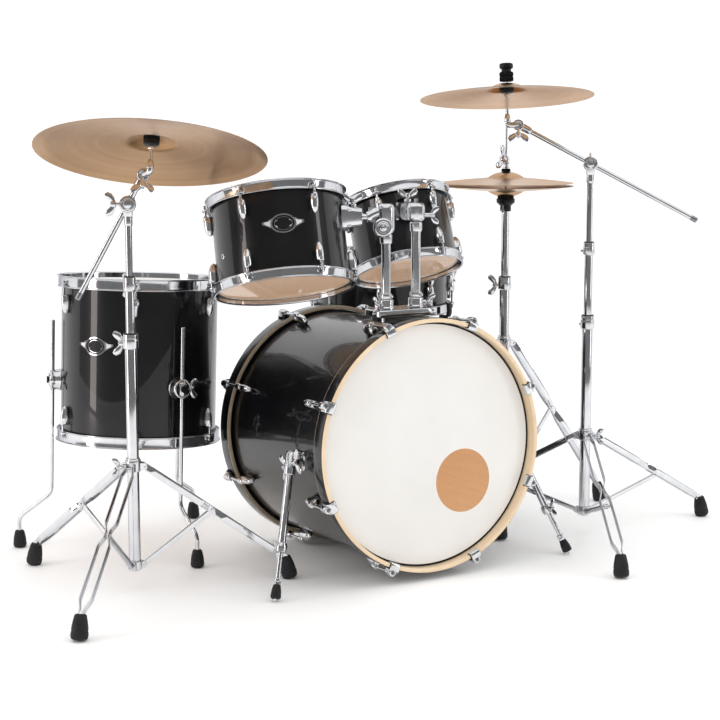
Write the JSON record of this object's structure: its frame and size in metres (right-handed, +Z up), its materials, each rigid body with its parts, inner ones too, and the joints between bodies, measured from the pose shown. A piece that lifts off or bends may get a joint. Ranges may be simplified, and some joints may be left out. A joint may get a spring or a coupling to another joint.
{
  "type": "acoustic drum kit",
  "caption": "Acoustic drum kit in gloss black: bass drum with rack toms, floor tom, snare, ride and crash on boom stands, and hi-hats on tripod stands.",
  "frame": {"origin": "middle of the kit's bounding box, on the floor that its feet and the bass drum stand on", "axes": "+Z up; +X to the right as the audience sees the kit, from the floor tom to the hi-hats; +Y from the audience towards the drummer, along the bass drum"},
  "size_m": [1.8738, 1.2012, 1.1908],
  "materials": {
    "black_shell": "high-gloss black lacquer",
    "black_hoop": "black lacquer over maple, bare front edge",
    "maple_hoop": "clear satin lacquer over maple",
    "coated_head": "white coated film",
    "clear_head": "clear film",
    "cymbal_bronze": "lathed traditional bronze",
    "chrome_hardware": "polished chrome"
  },
  "bodies": {
    "kit_base": {"bass_shell": "black_shell", "bass_front_hoop": "maple_hoop", "bass_rear_hoop": "black_hoop", "bass_front_head": "coated_head", "bass_batter_head": "coated_head", "bass_tom_bracket": "chrome_hardware", "bass_spur_bracket_left": "chrome_hardware", "bass_spur_bracket_right": "chrome_hardware", "floor_tom_shell": "black_shell", "floor_tom_batter_hoop": "chrome_hardware", "floor_tom_bottom_hoop": "chrome_hardware", "floor_tom_batter_head": "coated_head", "floor_tom_bottom_head": "clear_head", "ride_stand_base": "chrome_hardware", "crash_stand_base": "chrome_hardware", "hihat_stand_base": "chrome_hardware", "snare_stand_base": "chrome_hardware"},
    "spur_left": {"bass_spur_rod_left": "chrome_hardware"},
    "spur_right": {"bass_spur_rod_right": "chrome_hardware"},
    "tom_post_left": {"tom_post_left": "chrome_hardware"},
    "tom_12_arm": {"tom_12_arm": "chrome_hardware"},
    "tom_12": {"tom_12_shell": "black_shell", "tom_12_batter_hoop": "chrome_hardware", "tom_12_bottom_hoop": "chrome_hardware", "tom_12_batter_head": "coated_head", "tom_12_bottom_head": "clear_head", "tom_12_mount": "chrome_hardware"},
    "tom_post_right": {"tom_post_right": "chrome_hardware"},
    "tom_10_arm": {"tom_10_arm": "chrome_hardware"},
    "tom_10": {"tom_10_shell": "black_shell", "tom_10_batter_hoop": "chrome_hardware", "tom_10_bottom_hoop": "chrome_hardware", "tom_10_batter_head": "coated_head", "tom_10_bottom_head": "clear_head", "tom_10_mount": "chrome_hardware"},
    "floor_tom_leg_1": {"floor_tom_leg_1": "chrome_hardware"},
    "floor_tom_leg_2": {"floor_tom_leg_2": "chrome_hardware"},
    "floor_tom_leg_3": {"floor_tom_leg_3": "chrome_hardware"},
    "ride_middle_tube": {"ride_stand_middle_tube": "chrome_hardware"},
    "ride_upper_tube": {"ride_stand_upper_tube": "chrome_hardware"},
    "ride_boom": {"ride_boom_arm": "chrome_hardware"},
    "ride_tilter": {"ride_tilter": "chrome_hardware"},
    "ride_cymbal": {"ride_cymbal": "cymbal_bronze"},
    "crash_middle_tube": {"crash_stand_middle_tube": "chrome_hardware"},
    "crash_upper_tube": {"crash_stand_upper_tube": "chrome_hardware"},
    "crash_boom": {"crash_boom_arm": "chrome_hardware"},
    "crash_tilter": {"crash_tilter": "chrome_hardware"},
    "crash_cymbal": {"crash_cymbal": "cymbal_bronze"},
    "hihat_lower": {"hihat_upper_tube": "chrome_hardware", "hihat_bottom_cymbal": "cymbal_bronze"},
    "hihat_upper": {"hihat_rod": "chrome_hardware", "hihat_top_cymbal": "cymbal_bronze"},
    "hihat_pedal": {"hihat_pedal": "chrome_hardware"},
    "snare_drum": {"snare_shell": "black_shell", "snare_batter_hoop": "chrome_hardware", "snare_bottom_hoop": "chrome_hardware", "snare_batter_head": "coated_head", "snare_bottom_head": "clear_head", "snare_basket": "chrome_hardware"},
    "snare_throw_off": {"snare_throw_off": "chrome_hardware"}
  },
  "joints": [
    {"name": "spur_left_extend", "type": "slide", "parent": "kit_base", "child": "spur_left", "axis": [-0.3127, -0.3437, -0.8855], "range_m": [0, 0.04]},
    {"name": "spur_right_extend", "type": "slide", "parent": "kit_base", "child": "spur_right", "axis": [0.3127, -0.3437, -0.8855], "range_m": [0, 0.04]},
    {"name": "tom_post_left_height", "type": "slide", "parent": "kit_base", "child": "tom_post_left", "axis": [0, 0, 1], "range_m": [0, 0.015]},
    {"name": "tom_12_swivel", "type": "hinge", "parent": "tom_post_left", "child": "tom_12_arm", "pos_m": [-0.0842, -0.2251, 0.846], "axis": [0, 0, 1], "range_deg": [0, 12]},
    {"name": "tom_12_tilt", "type": "hinge", "parent": "tom_12_arm", "child": "tom_12", "pos_m": [-0.11034, -0.21038, 0.832], "axis": [-0.8712, 0.4908, 0], "range_deg": [-10, 5]},
    {"name": "tom_post_right_height", "type": "slide", "parent": "kit_base", "child": "tom_post_right", "axis": [0, 0, 1], "range_m": [0, 0.03]},
    {"name": "tom_10_swivel", "type": "hinge", "parent": "tom_post_right", "child": "tom_10_arm", "pos_m": [-0.0012, -0.2231, 0.846], "axis": [0, 0, 1], "range_deg": [-6, 0]},
    {"name": "tom_10_tilt", "type": "hinge", "parent": "tom_10_arm", "child": "tom_10", "pos_m": [0.01199, -0.19616, 0.832], "axis": [0.4397, 0.8982, 0], "range_deg": [-6, 10]},
    {"name": "floor_tom_leg_1_height", "type": "slide", "parent": "kit_base", "child": "floor_tom_leg_1", "axis": [-0.047, -0.03, -0.9984], "range_m": [0, 0.05]},
    {"name": "floor_tom_leg_2_height", "type": "slide", "parent": "kit_base", "child": "floor_tom_leg_2", "axis": [-0.047, -0.03, -0.9984], "range_m": [0, 0.05]},
    {"name": "floor_tom_leg_3_height", "type": "slide", "parent": "kit_base", "child": "floor_tom_leg_3", "axis": [-0.047, -0.03, -0.9984], "range_m": [0, 0.05]},
    {"name": "ride_stand_lower_height", "type": "slide", "parent": "kit_base", "child": "ride_middle_tube", "axis": [0, 0, 1], "range_m": [0, 0.08]},
    {"name": "ride_stand_upper_height", "type": "slide", "parent": "ride_middle_tube", "child": "ride_upper_tube", "axis": [0, 0, 1], "range_m": [0, 0.08]},
    {"name": "ride_boom_angle", "type": "hinge", "parent": "ride_upper_tube", "child": "ride_boom", "pos_m": [-0.6792, -0.1181, 0.874], "axis": [-0.4356, -0.9002, 0], "range_deg": [0, 19]},
    {"name": "ride_tilter_angle", "type": "hinge", "parent": "ride_boom", "child": "ride_tilter", "pos_m": [-0.6482, -0.1331, 0.937], "axis": [-0.4356, -0.9002, 0], "range_deg": [-2, 15]},
    {"name": "ride_cymbal_spin", "type": "hinge", "parent": "ride_tilter", "child": "ride_cymbal", "pos_m": [-0.6372, -0.1501, 0.982], "axis": [0.188, 0.249, 0.9501], "continuous": true},
    {"name": "crash_stand_lower_height", "type": "slide", "parent": "kit_base", "child": "crash_middle_tube", "axis": [0, 0, 1], "range_m": [-0.08, 0.08]},
    {"name": "crash_stand_upper_height", "type": "slide", "parent": "crash_middle_tube", "child": "crash_upper_tube", "axis": [0, 0, 1], "range_m": [-0.08, 0.08]},
    {"name": "crash_boom_angle", "type": "hinge", "parent": "crash_upper_tube", "child": "crash_boom", "pos_m": [0.5148, -0.2171, 0.945], "axis": [-0.6062, -0.7953, 0], "range_deg": [-25, 25]},
    {"name": "crash_tilter_angle", "type": "hinge", "parent": "crash_boom", "child": "crash_tilter", "pos_m": [0.3718, -0.1081, 1.04], "axis": [-0.6062, -0.7953, 0], "range_deg": [-15, 15]},
    {"name": "crash_cymbal_spin", "type": "hinge", "parent": "crash_tilter", "child": "crash_cymbal", "pos_m": [0.3518, -0.0861, 1.107], "axis": [0.042, 0.12, 0.9919], "continuous": true},
    {"name": "hihat_stand_height", "type": "slide", "parent": "kit_base", "child": "hihat_lower", "axis": [0, 0, 1], "range_m": [-0.012, 0.08]},
    {"name": "hihat_pedal_press", "type": "hinge", "parent": "kit_base", "child": "hihat_pedal", "pos_m": [0.5371, 0.39055, 0.02], "axis": [0.9854, -0.1701, 0], "range_deg": [0, 0.95], "stiffness_Nm_per_rad": 60},
    {"name": "hihat_rod_travel", "type": "slide", "parent": "hihat_lower", "child": "hihat_upper", "axis": [0, 0, -1], "range_m": [0, 0.0045]},
    {"name": "snare_stand_height", "type": "slide", "parent": "kit_base", "child": "snare_drum", "axis": [0, 0, 1], "range_m": [-0.05, 0.04]},
    {"name": "snare_throw_off_lever", "type": "hinge", "parent": "snare_drum", "child": "snare_throw_off", "pos_m": [0.44667, 0.29225, 0.614], "axis": [0.342, 0.9397, 0], "range_deg": [0, 80]}
  ],
  "couplings": [
    {"joint": "hihat_rod_travel", "follows": "hihat_pedal_press", "m_per_rad": 0.246}
  ]
}
